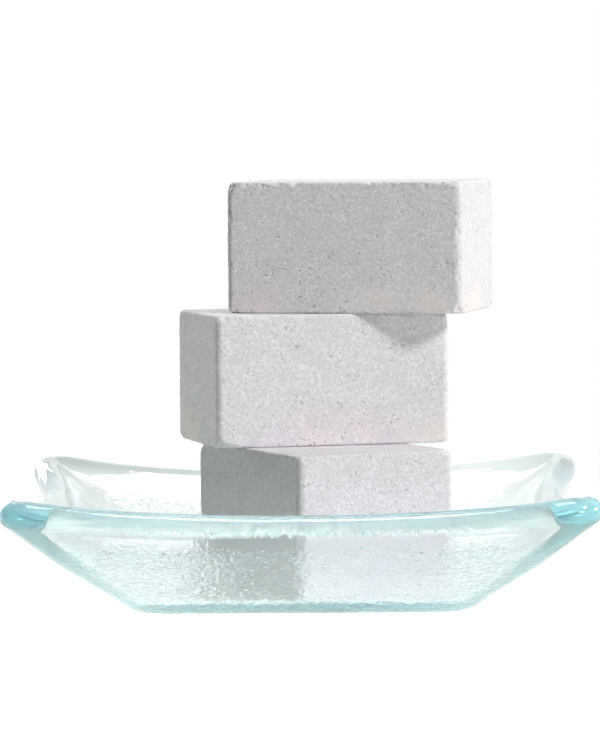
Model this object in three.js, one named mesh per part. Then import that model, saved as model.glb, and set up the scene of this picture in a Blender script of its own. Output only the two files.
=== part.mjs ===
// Gymnastics chalk set: three pressed chalk blocks stacked in a square slumped-glass dish.
// Millimetres, +Z up. The origin is the centre of the dish's underside.
import * as THREE from 'three';
import { RoundedBoxGeometry } from 'three/addons/geometries/RoundedBoxGeometry.js';

// One chalk block: length, width and height, with edges that handling has rounded.
const block = { length: 90, width: 62.5, height: 49.5, edgeRadius: 1.6, edgeSteps: 2 };

// Resting pieces keep this much air between them.
const restGap = 0.3;

// The dish: a square sheet of glass slumped over a smaller square foot, with four raised corners.
const dish = {
  halfSpan: 104.6,     // centre to the sheet's edge, measured at a corner, before the edge is rounded
  sideInset: 11,       // how far the middle of each side is drawn in
  thickness: 7.5,      // of the foot
  wallUnder: 2.55,     // how much further out the underside stands on the wall
  wallOver: 0.9,       // how much further in the upper side stands on the wall
  tipUnder: 1.3,       // the same two at the four tips, on top of the wall's
  tipOver: -1.8,
  footHalf: 61,        // centre to the fold between floor and wall
  foldReach: 3.5,      // half the width of that fold
  sideSlope: 0.94,     // rise over run in the middle of a wall
  cornerSlope: 0.87,   // rise over run along a corner
  planPower: 23,       // superellipse power that rounds the sheet's corners
  foldPower: 14,       // superellipse power that rounds the foot's corners
  rimSteps: 4,         // facets round the fire-polished edge
};

// Where each block sits: the middle of its underside and its turn about the vertical.
const stack = [
  { name: 'lower_block', x: 8, y: 0, turn: -64.2, colour: 0xc9c9c6 },
  { name: 'middle_block', x: 3.8, y: 27.7, turn: 15.2, colour: 0xd8d7d9 },
  { name: 'upper_block', x: 23, y: 30.6, turn: -12.8, colour: 0xcfcfd0 },
];

// Fractions of halfSpan where the dish's grid has a line, from the centre outwards.
const foldStart = (dish.footHalf - dish.foldReach) / dish.halfSpan;
const foldMiddle = dish.footHalf / dish.halfSpan;
const foldEnd = (dish.footHalf + dish.foldReach) / dish.halfSpan;
const gridLines = [0, foldStart / 2, foldStart, foldMiddle, foldEnd, 0.72, 0.82, 0.91, 0.97, 1];

// A value from -1 to 1 on an even grid, moved to the matching grid line.
function toGridLine(value) {
  const index = Math.round(Math.abs(value) * (gridLines.length - 1));
  return Math.sign(value) * gridLines[index];
}

// How far along its wall a grid value is: 0 up to the fold, rising smoothly to 1 at the rim.
function wallShare(value) {
  const share = (Math.abs(value) - foldStart) / (1 - foldStart);
  return share > 0 ? share * share : 0;
}

// Plan position of the sheet's middle surface: a square with rounded corners and drawn-in sides.
function planPoint(u, v) {
  const reach = Math.max(Math.abs(u), Math.abs(v), 1e-9);
  const power = dish.planPower;
  const sum = Math.abs(u / reach) ** power + Math.abs(v / reach) ** power;
  const scale = Math.max(sum, 1) ** (-1 / power);
  const a = u * scale;
  const b = v * scale;
  const x = dish.halfSpan * a - Math.sign(a) * dish.sideInset * wallShare(a) * (1 - b * b);
  const y = dish.halfSpan * b - Math.sign(b) * dish.sideInset * wallShare(b) * (1 - a * a);
  return [x, y];
}

// Height of the middle surface over the floor: flat inside the foot, a fold, then a sloping wall.
function wallHeight(x, y) {
  const power = dish.foldPower;
  const reach = (Math.abs(x) ** power + Math.abs(y) ** power) ** (1 / power);
  const past = reach - dish.footHalf;
  const r = dish.foldReach;
  if (past <= -r) return 0;
  const run = past < r ? (past + r) ** 2 / (4 * r) : past;
  return run * THREE.MathUtils.lerp(dish.sideSlope, dish.cornerSlope, cornerShare(x, y));
}

// 0 in the middle of a side and 1 on a diagonal.
function cornerShare(x, y) {
  const near = Math.min(Math.abs(x), Math.abs(y));
  const far = Math.max(Math.abs(x), Math.abs(y), 1e-9);
  return (near / far) ** 1.5;
}

// Middle surface of the glass at (u, v), each from -1 to 1.
function sheetPoint(u, v) {
  const [x, y] = planPoint(u, v);
  return new THREE.Vector3(x, y, dish.thickness / 2 + wallHeight(x, y));
}

// Unit normal of the middle surface, from two short chords across it.
function sheetNormal(u, v) {
  const step = 0.004;
  const along = sheetPoint(u + step, v).sub(sheetPoint(u - step, v));
  const across = sheetPoint(u, v + step).sub(sheetPoint(u, v - step));
  return along.cross(across).normalize();
}

// Distances from the middle surface up to the upper side and down to the underside.
function sheetReach(u, v) {
  const wall = THREE.MathUtils.smoothstep(Math.max(Math.abs(u), Math.abs(v)), 0.58, 0.85);
  const tip = (Math.abs(u) * Math.abs(v)) ** 6;
  const over = dish.thickness / 2 + dish.wallOver * wall + dish.tipOver * tip;
  const under = dish.thickness / 2 + dish.wallUnder * wall + dish.tipUnder * tip;
  return [over, under];
}

// A point of the glass: w runs from -1 underneath to 1 on top, and round the edge on the rim.
function glassPoint(u, v, w) {
  const middle = sheetPoint(u, v);
  const normal = sheetNormal(u, v);
  const [over, under] = sheetReach(u, v);
  const half = (over + under) / 2;
  const centre = (over - under) / 2;
  const onRim = Math.max(Math.abs(u), Math.abs(v)) > 0.9999;
  if (!onRim) return middle.addScaledVector(normal, centre + w * half);
  const outward = middle.clone().sub(sheetPoint(u * 0.98, v * 0.98)).normalize();
  const angle = (w * Math.PI) / 2;
  return middle
    .addScaledVector(normal, centre + Math.sin(angle) * half)
    .addScaledVector(outward, Math.cos(angle) * half);
}

// The whole dish: a gridded box of sides 2, slumped point by point.
function dishGeometry() {
  const cells = 2 * (gridLines.length - 1);
  const geometry = new THREE.BoxGeometry(2, 2, 2, cells, cells, dish.rimSteps);
  const position = geometry.attributes.position;
  for (let i = 0; i < position.count; i++) {
    const u = toGridLine(position.getX(i));
    const v = toGridLine(position.getY(i));
    const point = glassPoint(u, v, position.getZ(i));
    position.setXYZ(i, point.x, point.y, point.z);
  }
  geometry.computeVertexNormals();
  return geometry;
}

function glassDish() {
  const material = new THREE.MeshStandardMaterial({
    color: 0xb5dcdd,
    roughness: 0.06,
    metalness: 0,
    transparent: true,
    opacity: 0.45,
  });
  const mesh = new THREE.Mesh(dishGeometry(), material);
  mesh.name = 'glass_dish';
  return mesh;
}

// One block, level in the stack counted from 0 on the dish's floor.
function chalkBlock(place, level) {
  const { length, width, height, edgeRadius, edgeSteps } = block;
  const geometry = new RoundedBoxGeometry(length, width, height, edgeSteps, edgeRadius);
  const material = new THREE.MeshStandardMaterial({
    color: place.colour,
    roughness: 0.95,
    metalness: 0,
  });
  const mesh = new THREE.Mesh(geometry, material);
  mesh.name = place.name;
  const underside = dish.thickness + restGap + level * (height + restGap);
  mesh.position.set(place.x, place.y, underside + height / 2);
  mesh.rotation.z = THREE.MathUtils.degToRad(place.turn);
  return mesh;
}

const chalkSet = new THREE.Group();
chalkSet.add(glassDish());
stack.forEach((place, level) => chalkSet.add(chalkBlock(place, level)));

export default chalkSet;
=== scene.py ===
import math

import bpy
import numpy as np
from mathutils import Matrix, Vector


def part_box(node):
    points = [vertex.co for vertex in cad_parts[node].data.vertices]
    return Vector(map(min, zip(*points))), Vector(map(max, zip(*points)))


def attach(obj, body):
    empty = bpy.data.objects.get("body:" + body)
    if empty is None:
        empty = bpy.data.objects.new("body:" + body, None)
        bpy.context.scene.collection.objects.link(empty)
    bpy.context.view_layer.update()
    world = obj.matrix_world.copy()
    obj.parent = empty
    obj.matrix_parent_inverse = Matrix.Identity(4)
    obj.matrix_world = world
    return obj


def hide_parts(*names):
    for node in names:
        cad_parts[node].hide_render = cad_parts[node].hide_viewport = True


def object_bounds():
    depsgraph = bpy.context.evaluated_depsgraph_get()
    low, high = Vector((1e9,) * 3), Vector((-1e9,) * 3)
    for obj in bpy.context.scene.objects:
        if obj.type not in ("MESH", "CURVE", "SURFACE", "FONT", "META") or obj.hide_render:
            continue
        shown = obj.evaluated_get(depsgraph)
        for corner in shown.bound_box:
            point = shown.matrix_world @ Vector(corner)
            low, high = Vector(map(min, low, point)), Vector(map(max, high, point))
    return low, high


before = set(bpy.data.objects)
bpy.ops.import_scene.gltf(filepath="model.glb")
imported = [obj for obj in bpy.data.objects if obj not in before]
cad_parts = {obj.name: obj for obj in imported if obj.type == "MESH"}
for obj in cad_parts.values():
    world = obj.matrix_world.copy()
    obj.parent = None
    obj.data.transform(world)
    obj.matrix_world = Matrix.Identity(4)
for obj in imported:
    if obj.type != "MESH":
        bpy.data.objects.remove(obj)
cadLow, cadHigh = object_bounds()
millimetre = 0.001
print("frame loaded:", ", ".join(sorted(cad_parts)))


cameraSettings = {
    "place": (0.0152, -1.6864, 0.1850),
    "aim": 0.54,  # degrees turned from looking along +Y, towards -X
    "downTilt": 3.355,
    "roll": -0.448,
    "lens": 217.5,
    "sensor": 36.0,
}


def makeCamera(settings):
    data = bpy.data.cameras.new("viewCamera")
    data.lens = settings["lens"]
    data.sensor_width = settings["sensor"]
    data.clip_start = 0.05
    data.clip_end = 30
    camera = bpy.data.objects.new("viewCamera", data)
    bpy.context.scene.collection.objects.link(camera)
    aim = Matrix.Rotation(math.radians(settings["aim"]), 4, "Z")
    tilt = Matrix.Rotation(math.radians(90 - settings["downTilt"]), 4, "X")
    roll = Matrix.Rotation(math.radians(settings["roll"]), 4, "Z")
    camera.matrix_world = Matrix.Translation(settings["place"]) @ aim @ tilt @ roll
    bpy.context.scene.camera = camera
    return camera


makeCamera(cameraSettings)
print("camera placed")


def latticeNoise(points, cell, seed):
    # value noise: a random number at each corner of a cubic lattice, blended with s*s*(3-2s) between the
    # eight corners round each point; the result runs from -1 to 1
    scaled = points / cell
    base = np.floor(scaled)
    share = scaled - base
    share = share * share * (3 - 2 * share)
    base = base.astype(np.int64)
    total = np.zeros(points.shape[:-1])
    for corner in np.ndindex(2, 2, 2):
        key = (base[..., 0] + corner[0]) * 73856093
        key ^= (base[..., 1] + corner[1]) * 19349663
        key ^= (base[..., 2] + corner[2]) * 83492791
        key = (key ^ (seed * 2654435761)) & 0x7FFFFFFF
        key = ((key ^ (key >> 13)) * 1274126177) & 0x7FFFFFFF
        key = (key ^ (key >> 16)) & 0xFFFF
        weight = np.ones(points.shape[:-1])
        for axis in range(3):
            weight = weight * (share[..., axis] if corner[axis] else 1 - share[..., axis])
        total += weight * key / 65535
    return 2 * total - 1


def layeredNoise(points, cell, seed, layers=3):
    # each layer has half the cell and half the strength of the one before
    total = np.zeros(points.shape[:-1])
    for layer in range(layers):
        total += latticeNoise(points, cell / 2**layer, seed + 17 * layer) / 2**layer
    return total / (2 - 2 ** (1 - layers))


def smoothStep(value, low, high):
    # 0 below low, 1 above high, s*s*(3-2s) between
    share = np.clip((value - low) / (high - low), 0, 1)
    return share * share * (3 - 2 * share)


def unit(vectors):
    return vectors / np.maximum(np.linalg.norm(vectors, axis=-1, keepdims=True), 1e-12)


def gridFaces(rows, columns, start):
    # quads of a rows x columns grid of points, numbered row by row from start
    corner = start + np.arange(rows - 1)[:, None] * columns + np.arange(columns - 1)[None, :]
    corner = corner.ravel()
    return np.stack([corner, corner + columns, corner + columns + 1, corner + 1], axis=1)


def meshFromGrids(name, grids, attribute=None, values=None):
    # points within a tenth of a micrometre of each other are one vertex, so neighbouring grids close up;
    # values gives each grid point one number, kept under the attribute's name
    points, faces, start = [], [], 0
    for grid in grids:
        rows, columns = grid.shape[:2]
        points.append(grid.reshape(-1, 3))
        faces.append(gridFaces(rows, columns, start))
        start += rows * columns
    points = np.concatenate(points)
    faces = np.concatenate(faces)
    keys = np.round(points / 1e-7).astype(np.int64)
    first, inverse = np.unique(keys, axis=0, return_index=True, return_inverse=True)[1:]
    mesh = bpy.data.meshes.new(name)
    mesh.from_pydata(points[first].tolist(), [], inverse.reshape(-1)[faces].tolist())
    mesh.shade_smooth()
    if attribute:
        flat = np.concatenate([value.ravel() for value in values])[first]
        layer = mesh.attributes.new(attribute, "FLOAT", "POINT")
        layer.data.foreach_set("value", flat.astype(np.float32))
    mesh.validate()
    return mesh


def addPiece(name, mesh, material, body, nodes=()):
    piece = bpy.data.objects.new(name, mesh)
    bpy.context.scene.collection.objects.link(piece)
    mesh.materials.append(material)
    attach(piece, body)
    if nodes:
        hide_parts(*nodes)
    return piece


def addNode(tree, kind, **values):
    node = tree.nodes.new(kind)
    for key, value in values.items():
        if key in node.inputs:
            node.inputs[key].default_value = value
        else:
            setattr(node, key, value)
    return node


def feed(tree, socket, value):
    # a number, a colour or the output of another node
    if isinstance(value, (int, float)):
        socket.default_value = value
    elif isinstance(value, tuple):
        socket.default_value = (*value, 1)
    else:
        tree.links.new(value, socket)


def newMaterial(name):
    material = bpy.data.materials.new(name)
    material.use_nodes = True
    tree = material.node_tree
    tree.nodes.clear()
    output = addNode(tree, "ShaderNodeOutputMaterial")
    return material, tree, output


def colourRamp(tree, source, stops):
    ramp = addNode(tree, "ShaderNodeValToRGB")
    elements = ramp.color_ramp.elements
    while len(elements) < len(stops):
        elements.new(0.5)
    for element, (position, colour) in zip(elements, stops):
        element.position = position
        element.color = (*colour, 1)
    tree.links.new(source, ramp.inputs["Fac"])
    return ramp.outputs["Color"]


def noiseField(tree, where, scale, detail, roughness):
    node = addNode(tree, "ShaderNodeTexNoise", Scale=scale, Detail=detail, Roughness=roughness)
    tree.links.new(where, node.inputs["Vector"])
    return node.outputs["Fac"]


def dotField(tree, where, scale):
    # distance from the nearest of many scattered points
    node = addNode(tree, "ShaderNodeTexVoronoi", Scale=scale, Randomness=1.0)
    tree.links.new(where, node.inputs["Vector"])
    return node.outputs["Distance"]


def window(tree, source, low, high, bottom=0.0, top=1.0):
    # bottom up to low, top from high on, smooth between
    node = addNode(tree, "ShaderNodeMapRange", interpolation_type="SMOOTHSTEP")
    for socket, value in zip(("From Min", "From Max", "To Min", "To Max"), (low, high, bottom, top)):
        node.inputs[socket].default_value = value
    tree.links.new(source, node.inputs["Value"])
    return node.outputs["Result"]


def maths(tree, operation, first, second):
    node = addNode(tree, "ShaderNodeMath", operation=operation)
    feed(tree, node.inputs[0], first)
    feed(tree, node.inputs[1], second)
    return node.outputs[0]


def mixColours(tree, factor, first, second, blend="MIX"):
    node = addNode(tree, "ShaderNodeMix", data_type="RGBA", blend_type=blend)
    feed(tree, node.inputs["Factor"], factor)
    feed(tree, node.inputs[6], first)
    feed(tree, node.inputs[7], second)
    return node.outputs[2]


def grey(value):
    return (value, value, value)


# lengths in millimetres
chalkSettings = {
    "size": (90.9, 63.4, 49.5),  # before wear and the rounding of the edges
    "cell": 0.62,
    "crowding": 0.45,  # share by which the grid lines crowd towards the edges
    "uprightRadius": 2.5,  # rounding of the four upright edges and the corners
    "flatRadius": 0.85,  # rounding of the edges round the top and bottom
    "radiusLimits": (0.5, 6.0),
    "edgeWear": 0.45,
    "wearCell": 9.0,
    "nickCell": 2.1,
    "grain": 0.06,
    "grainCell": 1.3,
    "swell": 0.08,
    "swellCell": 26.0,
    "pitDepth": 0.38,
    "pitCell": 1.45,
    "pitGroupCell": 9.0,
    "settle": 0.26,  # how far the underside reaches down to what it stands on
}

# chips are (x, y, z as shares of the half size, reach, depth), the last two in millimetres
blocks = {
    "lower_block": {
        "body": "lower",
        # a shade number below 1 darkens this whole block's colour: painted shade standing in for light that
        # the glass dish around it holds back
        "paintedShade": 0.93,
        "turn": -64.2,
        "seed": 11,
        "chipping": 1.5,
        "pitting": 0.5,
        "chips": [(-0.98, -1, 1, 4.0, 1.6)],
    },
    "middle_block": {
        "body": "middle",
        "paintedShade": 1.0,
        "turn": 15.2,
        "seed": 23,
        "chipping": 1.0,
        "pitting": 0.5,
        "chips": [(-0.88, -1, -1, 3.0, 1.2), (-1, -1, -1, 3.5, 1.2)],
    },
    "upper_block": {
        "body": "upper",
        "paintedShade": 1.0,
        "turn": -12.8,
        "seed": 37,
        "chipping": 2.3,
        "pitting": 1.0,
        "chips": [
            (-0.97, -1, 1, 4.0, 2.2),
            (-0.62, -1, 1, 5.0, 0.9),
            (1, -1, -1, 4.0, 1.6),
            (0.8, -1, 1, 6.0, 0.7),
        ],
    },
}


def crowdedLine(length, settings):
    # t*(1-k) + k*sin(90 degrees * t) for t from -1 to 1, times half the length
    t = np.linspace(-1, 1, round(length / settings["cell"]) + 1)
    k = settings["crowding"]
    return (t * (1 - k) + k * np.sin(t * math.pi / 2)) * length / 2


def boxGrids(settings):
    # the six sides of a box as grids of points, each wound so that it faces out
    lines = [crowdedLine(length, settings) for length in settings["size"]]
    grids = []
    for axis in range(3):
        first, second = (axis + 1) % 3, (axis + 2) % 3
        for side in (-1, 1):
            a, b = np.meshgrid(lines[first], lines[second], indexing="ij")
            grid = np.empty(a.shape + (3,))
            grid[..., first], grid[..., second] = a, b
            grid[..., axis] = side * settings["size"][axis] / 2
            grids.append(grid if side == 1 else grid[::-1])
    return grids


def edgeRadiusAt(points, half, settings, block):
    # upright radius, blended to flat radius near top and bottom but not at the corners; more where wear is
    # high and in nicks, mostly round the top; and inside each chip by depth*exp(-(distance/reach)^2)
    seed = block["seed"]
    reach = np.abs(points)
    nearX = smoothStep(reach[..., 0], half[0] - 7, half[0] - 2)
    nearY = smoothStep(reach[..., 1], half[1] - 7, half[1] - 2)
    nearFlat = smoothStep(reach[..., 2], half[2] - 3.5, half[2] - 1.5) * (1 - nearX * nearY)
    radius = settings["uprightRadius"] + (settings["flatRadius"] - settings["uprightRadius"]) * nearFlat
    radius = radius + layeredNoise(points, settings["wearCell"], seed) * settings["edgeWear"]
    nicks = smoothStep(layeredNoise(points, settings["nickCell"], seed + 5), 0.1, 0.6) * block["chipping"]
    radius = radius + nicks * (0.4 + 0.6 * smoothStep(points[..., 2], half[2] - 5, half[2] - 1))
    for x, y, z, chipReach, depth in block["chips"]:
        distance = np.linalg.norm(points - np.array([x, y, z]) * half, axis=-1)
        radius = radius + depth * np.exp(-((distance / chipReach) ** 2))
    return np.clip(radius, *settings["radiusLimits"])[..., None]


def chalkSurface(points, settings, block):
    # each point is drawn back to an inner box and pushed out again by the local edge radius, then sunk by
    # pits that come in clusters (one noise times a wider one)
    half = np.array(settings["size"]) / 2
    radius = edgeRadiusAt(points, half, settings, block)
    inner = np.clip(points, -(half - radius), half - radius)
    outward = unit(points - inner)
    seed = block["seed"]
    pits = smoothStep(latticeNoise(points, settings["pitCell"], seed + 31), 0.45, 0.9)
    groups = smoothStep(latticeNoise(points, settings["pitGroupCell"], seed + 33), 0.1, 0.65)
    pits = pits * groups * block["pitting"]
    grain = latticeNoise(points, settings["grainCell"], seed + 41) * settings["grain"]
    swell = layeredNoise(points, settings["swellCell"], seed + 51) * settings["swell"]
    sink = settings["pitDepth"] * pits - grain - swell
    surface = inner + outward * (radius - sink[..., None])
    surface[..., 2] = np.clip(surface[..., 2], -half[2], half[2])
    low = smoothStep(-surface[..., 2], half[2] - 6, half[2] - 2)
    surface[..., 2] -= low * settings["settle"]
    return surface


def placeBlock(points, node, turn):
    # turned about the vertical and set where the frame holds the node
    low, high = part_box(node)
    centre = np.array((low + high) / 2)
    angle = math.radians(turn)
    turned = np.empty_like(points)
    turned[..., 0] = points[..., 0] * math.cos(angle) - points[..., 1] * math.sin(angle)
    turned[..., 1] = points[..., 0] * math.sin(angle) + points[..., 1] * math.cos(angle)
    turned[..., 2] = points[..., 2]
    return turned * millimetre + centre


# scales are in waves to the metre
chalkLook = {
    "pale": (0.915, 0.885, 0.925),
    "dull": (0.605, 0.58, 0.615),
    "mauve": (0.69, 0.65, 0.68),
    # the warm colour is painted bounce light, laid in patches near each block's foot
    "paintedBounceWarmth": (0.86, 0.76, 0.73),
    "speck": (0.35, 0.33, 0.34),
}
chalkGrain = {
    "powder": 1050,
    "clumps": 640,
    "mottling": 150,
    # the warm patches near the foot are painted bounce light
    "paintedBouncePatches": 42,
    "paintedBounceRise": 0.016,  # metres above the foot of the block
    "crumbs": 760,
    "crumbGroups": 120,
    "dots": 430,
    "dotGroups": 390,
    "reliefDepth": 0.0002,
}


def chalkMaterial(name, look, grain, offset, foot):
    material, tree, output = newMaterial(name)
    place = addNode(tree, "ShaderNodeTexCoord")
    mapping = addNode(tree, "ShaderNodeMapping")
    mapping.inputs["Location"].default_value = offset
    tree.links.new(place.outputs["Object"], mapping.inputs["Vector"])
    where = mapping.outputs["Vector"]

    def noise(scale, detail, low, high, roughness=0.6):
        return window(tree, noiseField(tree, where, scale, detail, roughness), low, high)

    def times(first, second):
        return maths(tree, "MULTIPLY", first, second)

    # powder grain, mauve clumps and soft mottling
    powder = noiseField(tree, where, grain["powder"], 4, 0.75)
    colour = mixColours(tree, window(tree, powder, 0.30, 0.70), look["dull"], look["pale"])
    colour = mixColours(tree, times(noise(grain["clumps"], 3, 0.46, 0.66), 0.62), colour, look["mauve"])
    colour = mixColours(tree, times(noise(grain["mottling"], 2, 0.40, 0.66), 0.25), colour, look["dull"])
    # painted light: a warm tinge in patches near the foot, standing in for warm light bounced up from what
    # the block stands on
    height = addNode(tree, "ShaderNodeSeparateXYZ")
    tree.links.new(place.outputs["Object"], height.inputs[0])
    nearFoot = window(tree, height.outputs["Z"], foot + grain["paintedBounceRise"], foot + 0.002)
    bouncePatches = times(nearFoot, noise(grain["paintedBouncePatches"], 2, 0.42, 0.62))
    colour = mixColours(tree, times(bouncePatches, 0.6), colour, look["paintedBounceWarmth"])
    # dark crumbs and dots that gather in places
    groups = maths(tree, "ADD", 0.3, noise(grain["crumbGroups"], 2, 0.45, 0.62))
    crumbs = times(noise(grain["crumbs"], 2, 0.60, 0.69, 0.5), groups)
    dots = window(tree, dotField(tree, where, grain["dots"]), 0.24, 0.12)
    dots = times(dots, noise(grain["dotGroups"], 1, 0.58, 0.66))
    colour = mixColours(tree, times(crumbs, 0.55), colour, look["speck"])
    colour = mixColours(tree, times(dots, 0.4), colour, look["speck"])

    relief = maths(tree, "SUBTRACT", powder, maths(tree, "ADD", crumbs, dots))
    bump = addNode(tree, "ShaderNodeBump", Strength=0.45, Distance=grain["reliefDepth"])
    tree.links.new(relief, bump.inputs["Height"])

    shader = addNode(tree, "ShaderNodeBsdfPrincipled")
    shader.inputs["Roughness"].default_value = 0.94
    shader.inputs["Specular IOR Level"].default_value = 0.25
    tree.links.new(colour, shader.inputs["Base Color"])
    tree.links.new(bump.outputs["Normal"], shader.inputs["Normal"])
    tree.links.new(shader.outputs["BSDF"], output.inputs["Surface"])
    return material


for node, block in blocks.items():
    shift = (block["seed"] * 0.013, block["seed"] * 0.007, 0)
    # every colour of a block is scaled by its shade number; below 1 this is painted shade
    look = {key: tuple(block["paintedShade"] * part for part in value) for key, value in chalkLook.items()}
    foot = float(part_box(node)[0][2])
    material = chalkMaterial("pressedChalk_" + block["body"], look, chalkGrain, shift, foot)
    grids = [chalkSurface(grid, chalkSettings, block) for grid in boxGrids(chalkSettings)]
    grids = [placeBlock(grid, node, block["turn"]) for grid in grids]
    mesh = meshFromGrids("chalk_" + block["body"], grids)
    addPiece("chalk_" + block["body"], mesh, material, block["body"], [node])
    print("chalk block made:", node, len(mesh.polygons), "faces")


# lengths in millimetres; starts and ends are shares of the way from the middle of the dish to its edge
dishSettings = {
    "halfSpan": 104.6,
    "sideInset": 11.0,  # how far the middle of each side is drawn in
    "thickness": 7.5,
    "wallUnder": 2.55,  # how much further out the underside stands on the wall
    "wallStart": 0.58,
    "wallEnd": 0.85,
    "beadOver": 1.0,  # how much the edge is proud of the wall on the inside
    "beadStart": 0.86,
    "beadEnd": 0.97,
    "tipUnder": 1.3,
    "tipOver": -1.8,
    "tipPower": 6,
    "footHalf": 61.0,
    "foldReach": 3.5,
    "sideSlope": 0.94,
    "cornerSlope": 0.87,
    "planPower": 19,
    "foldPower": 14,
    "footCell": 2.4,
    "wallCell": 0.84,
    "rimCells": 20,
    "ripple": 0.10,
    "rippleCell": 14.0,
    "rippleSeed": 71,
    "polishStart": 0.87,
    "polishEnd": 0.95,
}


def foldStart(dish):
    return (dish["footHalf"] - dish["foldReach"]) / dish["halfSpan"]


def sheetMiddle(u, v, dish):
    # plan: a rounded square whose sides are drawn in; height: flat foot, parabolic fold, sloping wall
    reach = np.maximum(np.maximum(np.abs(u), np.abs(v)), 1e-9)
    power = dish["planPower"]
    scale = np.maximum(np.abs(u / reach) ** power + np.abs(v / reach) ** power, 1) ** (-1 / power)
    a, b = u * scale, v * scale
    start = foldStart(dish)

    def wallShare(value):
        return np.maximum((np.abs(value) - start) / (1 - start), 0) ** 2

    x = dish["halfSpan"] * a - np.sign(a) * dish["sideInset"] * wallShare(a) * (1 - b * b)
    y = dish["halfSpan"] * b - np.sign(b) * dish["sideInset"] * wallShare(b) * (1 - a * a)
    power = dish["foldPower"]
    past = (np.abs(x) ** power + np.abs(y) ** power) ** (1 / power) - dish["footHalf"]
    fold = dish["foldReach"]
    run = np.where(past <= -fold, 0, np.where(past < fold, (past + fold) ** 2 / (4 * fold), past))
    near = np.minimum(np.abs(x), np.abs(y))
    far = np.maximum(np.maximum(np.abs(x), np.abs(y)), 1e-9)
    slope = dish["sideSlope"] + (dish["cornerSlope"] - dish["sideSlope"]) * (near / far) ** 1.5
    return np.stack([x, y, dish["thickness"] / 2 + run * slope], axis=-1)


def sheetNormal(u, v, dish):
    # across two short chords of the middle surface
    step = 0.004
    along = sheetMiddle(u + step, v, dish) - sheetMiddle(u - step, v, dish)
    across = sheetMiddle(u, v + step, dish) - sheetMiddle(u, v - step, dish)
    return unit(np.cross(along, across))


def edgeOutward(u, v, normal, dish):
    # square to the edge line and to the sheet's normal; straight out along the diagonal at the four corners
    step = 0.002
    onSide = np.abs(u) >= np.abs(v)
    stepU, stepV = np.where(onSide, 0, step), np.where(onSide, step, 0)
    ahead = sheetMiddle(np.clip(u + stepU, -1, 1), np.clip(v + stepV, -1, 1), dish)
    behind = sheetMiddle(np.clip(u - stepU, -1, 1), np.clip(v - stepV, -1, 1), dish)
    radial = unit(sheetMiddle(u, v, dish) - sheetMiddle(u * 0.98, v * 0.98, dish))
    square = unit(np.cross(ahead - behind, normal))
    square = square * np.sign((square * radial).sum(axis=-1, keepdims=True))
    corner = np.minimum(np.abs(u), np.abs(v)) > 0.99999
    return np.where(corner[..., None], radial, square)


def glassSurface(u, v, angle, dish):
    # the middle surface moved along its normal: up by "over", which grows in the bead along the edge, and
    # down by "under", which grows on the wall; on the rim a half circle joins them, sin(angle) along the
    # normal and cos(angle) outwards
    middle = sheetMiddle(u, v, dish)
    normal = sheetNormal(u, v, dish)
    outward = edgeOutward(u, v, normal, dish)
    reach = np.maximum(np.abs(u), np.abs(v))
    wall = smoothStep(reach, dish["wallStart"], dish["wallEnd"])
    tip = (np.abs(u) * np.abs(v)) ** dish["tipPower"]
    bead = smoothStep(reach, dish["beadStart"], dish["beadEnd"])
    over = dish["thickness"] / 2 + dish["beadOver"] * bead + dish["tipOver"] * tip
    under = dish["thickness"] / 2 + dish["wallUnder"] * wall + dish["tipUnder"] * tip
    half = (over + under) / 2
    lift = (over - under) / 2 + np.sin(angle) * half
    push = np.where(reach > 0.99999, np.cos(angle) * half, 0)
    points = middle + normal * lift[..., None] + outward * push[..., None]
    ripple = layeredNoise(points, dish["rippleCell"], dish["rippleSeed"]) * dish["ripple"] * wall
    return points + normal * ripple[..., None]


def gridLine(dish):
    # even steps over the foot and finer even steps over the wall, the same on both sides of the middle
    start = foldStart(dish)
    foot = np.linspace(0, start, round(start * dish["halfSpan"] / dish["footCell"]) + 1)
    wallLength = (1 - start) * dish["halfSpan"] * 1.35
    wall = np.linspace(start, 1, round(wallLength / dish["wallCell"]) + 1)
    half = np.concatenate([foot, wall[1:]])
    return np.concatenate([-half[:0:-1], half])


def seedShare(u, v, dish):
    # 1 on the pebbled wall, 0.5 on the foot, 0 on the fire-polished edge and close to the tips
    reach = np.maximum(np.abs(u), np.abs(v))
    polished = smoothStep(reach, dish["polishStart"], dish["polishEnd"])
    polished = polished + smoothStep(np.abs(u * v), 0.55, 0.85)
    return (0.5 + 0.5 * smoothStep(reach, 0.5, 0.62)) * np.clip(1 - polished, 0, 1)


def glassGrids(dish):
    # a grid on top, one underneath and a strip round each of the four edges, each with its seed share
    line = gridLine(dish)
    turn = np.linspace(-math.pi / 2, math.pi / 2, dish["rimCells"] + 1)
    u, v = np.meshgrid(line, line, indexing="ij")
    up = np.full(u.shape, math.pi / 2)
    along, angle = np.meshgrid(line, turn, indexing="ij")
    one = np.ones(along.shape)
    sheets = [
        (u, v, up, False),
        (u, v, -up, True),
        (one, along, angle, False),
        (-one, along, angle, True),
        (along, one, angle, True),
        (along, -one, angle, False),
    ]
    grids, seeds = [], []
    for a, b, c, flipped in sheets:
        grid, share = glassSurface(a, b, c, dish) * millimetre, seedShare(a, b, dish)
        grids.append(grid[::-1] if flipped else grid)
        seeds.append(share[::-1] if flipped else share)
    return grids, seeds


# scales are in waves to the metre, reaches and depths in metres
glassLook = {
    "tint": (0.945, 0.925, 0.95),
    # the tip colour is painted shade for the darkened tips
    "paintedTipShade": (0.78, 0.80, 0.815),
    "tipReach": (0.128, 0.146),  # from the upright middle line
    "clear": 0.925,  # the rest of the light is scattered by seeds and skin
    "fleckLoss": 0.22,
    "fleckScale": 900,
    "refraction": 1.5,
    "depthColour": (0.27, 0.85, 0.90),
    "depthDensity": 6.8,
    "pebbleScale": 560,
    "dentScale": 330,
    "dentGroupScale": 210,
    "skinDepth": 0.00045,
}


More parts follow.
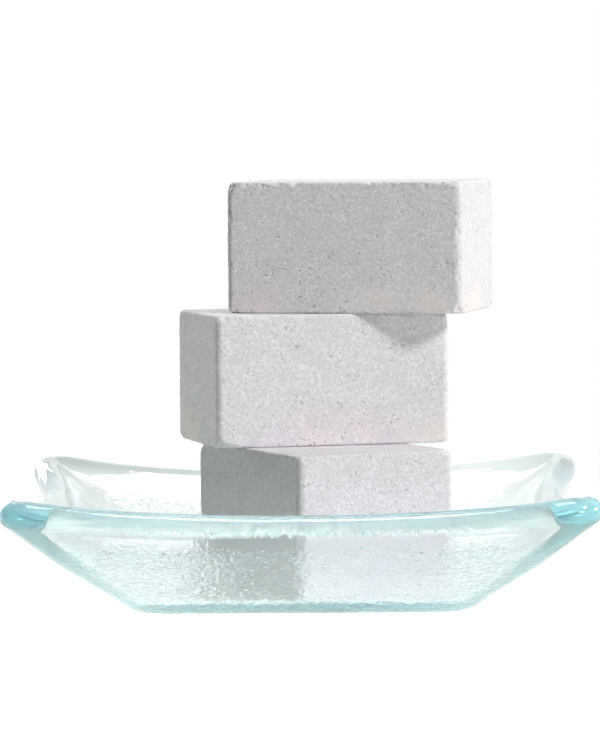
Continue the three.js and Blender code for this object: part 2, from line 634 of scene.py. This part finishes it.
def glassMaterial(name, look):
    material, tree, output = newMaterial(name)
    place = addNode(tree, "ShaderNodeTexCoord").outputs["Object"]
    seedy = addNode(tree, "ShaderNodeAttribute", attribute_name="seedShare").outputs["Fac"]

    def noise(scale, detail):
        return noiseField(tree, place, scale, detail, 0.55)

    def times(first, second):
        return maths(tree, "MULTIPLY", first, second)

    # pebbled skin with round dents in it, both fading out towards the polished edge
    dents = window(tree, dotField(tree, place, look["dentScale"]), 0.28, 0.08)
    dents = times(dents, window(tree, noise(look["dentGroupScale"], 1), 0.5, 0.6))
    pebble = maths(tree, "ADD", noise(look["pebbleScale"], 2), times(dents, 0.6))
    height = times(pebble, maths(tree, "ADD", seedy, 0.05))
    bump = addNode(tree, "ShaderNodeBump", Strength=1.0, Distance=look["skinDepth"])
    tree.links.new(height, bump.inputs["Height"])
    flecks = times(window(tree, noise(look["fleckScale"], 3), 0.56, 0.66), seedy)
    clear = window(tree, flecks, 0.0, 1.0, look["clear"], look["clear"] - look["fleckLoss"])

    # painted shade: the glass colour darkens towards the four tips, standing in for the dark room refracted
    # and mirrored in them
    level = addNode(tree, "ShaderNodeVectorMath", operation="MULTIPLY")
    level.inputs[1].default_value = (1, 1, 0)
    tree.links.new(place, level.inputs[0])
    span = addNode(tree, "ShaderNodeVectorMath", operation="LENGTH")
    tree.links.new(level.outputs["Vector"], span.inputs[0])
    atTip = window(tree, span.outputs["Value"], *look["tipReach"])
    tint = colourRamp(tree, atTip, [(0, look["tint"]), (1, look["paintedTipShade"])])

    shader = addNode(tree, "ShaderNodeBsdfPrincipled")
    shader.inputs["Roughness"].default_value = 0
    shader.inputs["IOR"].default_value = look["refraction"]
    tree.links.new(tint, shader.inputs["Base Color"])
    tree.links.new(clear, shader.inputs["Transmission Weight"])
    tree.links.new(bump.outputs["Normal"], shader.inputs["Normal"])
    lampsPass = addNode(tree, "ShaderNodeBsdfTransparent")
    path = addNode(tree, "ShaderNodeLightPath")
    either = addNode(tree, "ShaderNodeMixShader")
    tree.links.new(path.outputs["Is Shadow Ray"], either.inputs[0])
    tree.links.new(shader.outputs["BSDF"], either.inputs[1])
    tree.links.new(lampsPass.outputs["BSDF"], either.inputs[2])
    tree.links.new(either.outputs["Shader"], output.inputs["Surface"])
    absorb = addNode(tree, "ShaderNodeVolumeAbsorption")
    absorb.inputs["Color"].default_value = (*look["depthColour"], 1)
    absorb.inputs["Density"].default_value = look["depthDensity"]
    tree.links.new(absorb.outputs["Volume"], output.inputs["Volume"])
    return material


aquaGlass = glassMaterial("aquaGlass", glassLook)
dishGrids, seedShares = glassGrids(dishSettings)
dishMesh = meshFromGrids("slumped_dish", dishGrids, "seedShare", seedShares)
addPiece("slumped_dish", dishMesh, aquaGlass, "dish", ["glass_dish"])
print("glass dish made:", len(dishMesh.polygons), "faces")


studio = {
    "floorRadius": 0.45,
    "floorShade": (0.69, 0.72, 0.675),
    "floorGlow": 0.05,
    "floorShown": 0.45,
    "backdrop": 1.0,
    "bounceTone": (0.94, 1.0, 0.91),  # the backdrop as the chalk sees it
    "room": (0.03, 0.038, 0.03),
    "rightWall": 0.06,
    "tentFront": 0.25,
    "tentTop": 0.8,
}


def softbox(turn, height, distance, size, power, tone):
    # turn is degrees round from the camera's side towards +X, height is degrees above the floor
    return {
        "turn": turn,
        "height": height,
        "distance": distance,
        "size": size,
        "power": power,
        "tone": tone,
    }


softboxes = {
    "keyLight": softbox(52, 34, 2.6, 0.42, 39, (1, 0.98, 1)),
    "lowFill": softbox(35, 6, 2.0, 0.5, 8, (0.96, 1, 0.95)),
    "sideLight": softbox(100, 12, 2.0, 0.5, 9, (1, 1, 1)),
    "backLight": softbox(-150, 15, 1.5, 0.6, 9, (0.95, 1, 0.86)),
    "topLight": softbox(0, 84, 1.6, 0.6, 9, (0.98, 1, 0.98)),
}


def makeFloor(settings):
    # a disc whose rim is the radius times cos and sin of the turn; it glows a little, like a lit table
    turn = np.linspace(0, 2 * math.pi, 97)[:-1]
    ring = np.stack([np.cos(turn), np.sin(turn), 0 * turn], axis=1) * settings["floorRadius"]
    mesh = bpy.data.meshes.new("studioFloor")
    mesh.from_pydata(ring.tolist(), [], [list(range(len(ring)))])
    material, tree, output = newMaterial("paleFloor")
    shader = addNode(tree, "ShaderNodeBsdfPrincipled")
    shader.inputs["Base Color"].default_value = (*settings["floorShade"], 1)
    shader.inputs["Roughness"].default_value = 0.9
    shader.inputs["Specular IOR Level"].default_value = 0.1
    shader.inputs["Emission Color"].default_value = (1, 1, 1, 1)
    # the table shows white to the camera and lights the set only a little
    path = addNode(tree, "ShaderNodeLightPath")
    glow = addNode(tree, "ShaderNodeMapRange")
    glow.inputs["To Min"].default_value = settings["floorGlow"]
    glow.inputs["To Max"].default_value = settings["floorShown"]
    tree.links.new(path.outputs["Is Camera Ray"], glow.inputs["Value"])
    tree.links.new(glow.outputs["Result"], shader.inputs["Emission Strength"])
    tree.links.new(shader.outputs["BSDF"], output.inputs["Surface"])
    mesh.materials.append(material)
    floor = bpy.data.objects.new("studioFloor", mesh)
    floor.location = (0, 0, -0.0004)
    bpy.context.scene.collection.objects.link(floor)
    return floor


def makeSoftbox(name, box, target):
    data = bpy.data.lights.new(name, "AREA")
    data.shape = "SQUARE"
    data.size = box["size"]
    data.energy = box["power"]
    data.color = box["tone"]
    lamp = bpy.data.objects.new(name, data)
    bpy.context.scene.collection.objects.link(lamp)
    a, e = math.radians(box["turn"]), math.radians(box["height"])
    out = Vector((math.sin(a) * math.cos(e), -math.cos(a) * math.cos(e), math.sin(e)))
    lamp.location = target + out * box["distance"]
    lamp.rotation_mode = "QUATERNION"
    lamp.rotation_quaternion = out.to_track_quat("Z", "Y")
    return lamp


def makeWorld(settings):
    # a lit backdrop behind the set, a dim room on the camera's side and a pale wall on the right
    world = bpy.data.worlds.new("studioWorld")
    world.use_nodes = True
    tree = world.node_tree
    tree.nodes.clear()
    output = addNode(tree, "ShaderNodeOutputWorld")
    place = addNode(tree, "ShaderNodeTexCoord")
    split = addNode(tree, "ShaderNodeSeparateXYZ")
    tree.links.new(place.outputs["Generated"], split.inputs[0])
    backStops = [(0.15, settings["room"]), (0.55, grey(settings["backdrop"]))]
    back = colourRamp(tree, split.outputs["Y"], backStops)
    rightStops = [(0.3, grey(0)), (0.7, grey(settings["rightWall"]))]
    right = colourRamp(tree, split.outputs["X"], rightStops)
    toned = mixColours(tree, 1, back, settings["bounceTone"], "MULTIPLY")
    room = addNode(tree, "ShaderNodeBackground")
    tree.links.new(mixColours(tree, 1, toned, right, "ADD"), room.inputs["Color"])
    # what the glass mirrors and bends is an evenly lit tent
    tentStops = [(0.0, grey(settings["tentFront"])), (1.0, grey(settings["tentTop"]))]
    tent = colourRamp(tree, split.outputs["Z"], tentStops)
    bright = addNode(tree, "ShaderNodeBackground")
    tree.links.new(mixColours(tree, 1, tent, back, "LIGHTEN"), bright.inputs["Color"])
    white = addNode(tree, "ShaderNodeBackground")
    white.inputs["Color"].default_value = (1, 1, 1, 1)
    path = addNode(tree, "ShaderNodeLightPath")
    matte = addNode(tree, "ShaderNodeMixShader")
    tree.links.new(path.outputs["Diffuse Depth"], matte.inputs[0])
    tree.links.new(bright.outputs[0], matte.inputs[1])
    tree.links.new(room.outputs[0], matte.inputs[2])
    seen = addNode(tree, "ShaderNodeMixShader")
    tree.links.new(path.outputs["Is Camera Ray"], seen.inputs[0])
    tree.links.new(matte.outputs[0], seen.inputs[1])
    tree.links.new(white.outputs[0], seen.inputs[2])
    tree.links.new(seen.outputs[0], output.inputs["Surface"])
    bpy.context.scene.world = world


makeFloor(studio)
middle = (cadLow + cadHigh) / 2
for lampName, box in softboxes.items():
    makeSoftbox(lampName, box, middle)
makeWorld(studio)
bpy.context.scene.view_settings.view_transform = "Standard"
# light runs a long way inside the glass edge before it gets out
bounceLimits = {"max_bounces": 90, "transmission_bounces": 90, "glossy_bounces": 12, "diffuse_bounces": 4}
for limitName, limit in bounceLimits.items():
    setattr(bpy.context.scene.cycles, limitName, limit)
print("studio lit")
